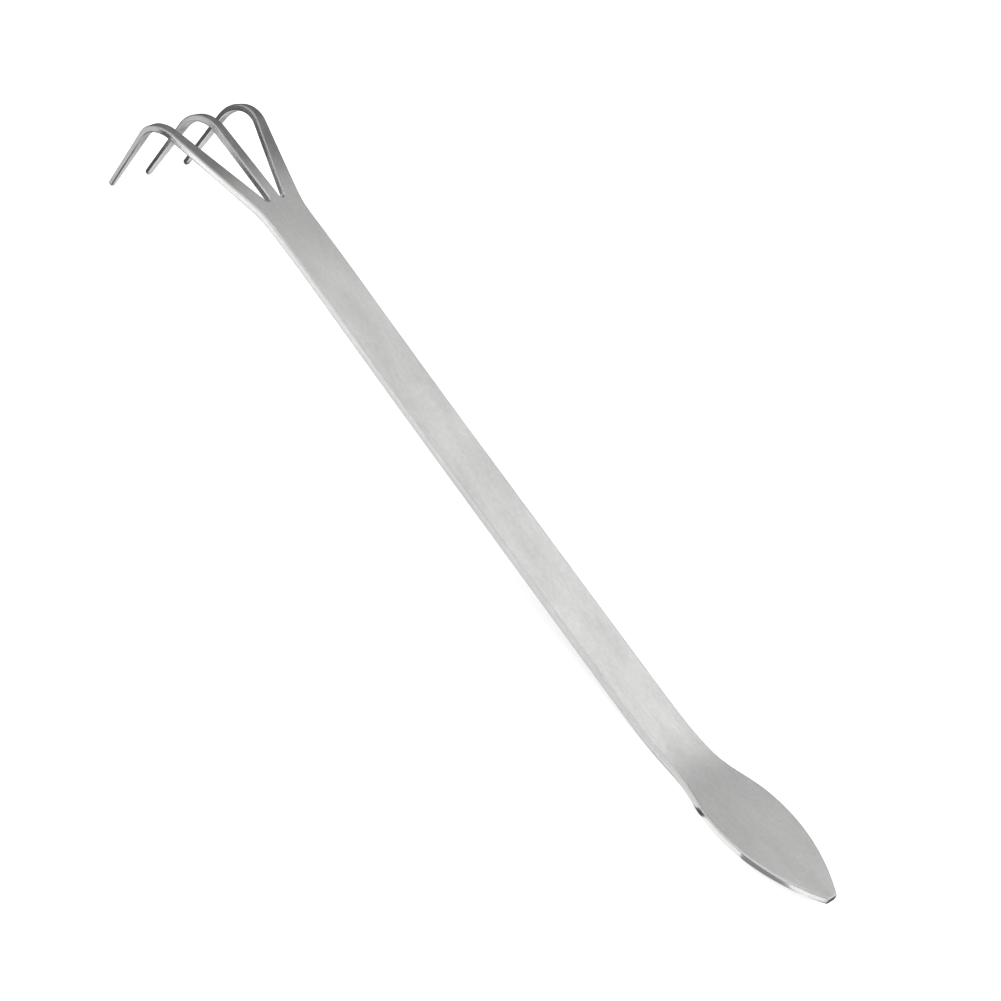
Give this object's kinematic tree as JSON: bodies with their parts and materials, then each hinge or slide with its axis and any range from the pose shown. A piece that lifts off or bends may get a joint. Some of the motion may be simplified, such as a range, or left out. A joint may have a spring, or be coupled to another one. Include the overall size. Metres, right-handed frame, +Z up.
{
  "type": "root rake with spatula",
  "caption": "One-piece sheet-steel hand tool: a flat bar with a leaf-shaped spatula at one end and a splayed rake of hooked tines at the other.",
  "frame": {"origin": "On the surface that the tool lies on, under the middle of its bounding box", "axes": "+X along the tool from the spatula to the rake, +Y to the left when looking along +X with the hooks down, +Z up from the surface that the hooks and the back of the bar rest on"},
  "size_m": [0.208, 0.0298, 0.0228],
  "materials": {
    "steel": "satin stainless steel, finely ground along its length, edges tumbled smooth"
  },
  "bodies": {
    "root": {"spatula_blade": "steel", "blade_neck": "steel", "handle_bar": "steel", "rake_shoulder": "steel", "tine_left": "steel", "tine_middle": "steel", "tine_right": "steel", "hook_left": "steel", "hook_middle": "steel", "hook_right": "steel"}
  },
  "joints": []
}
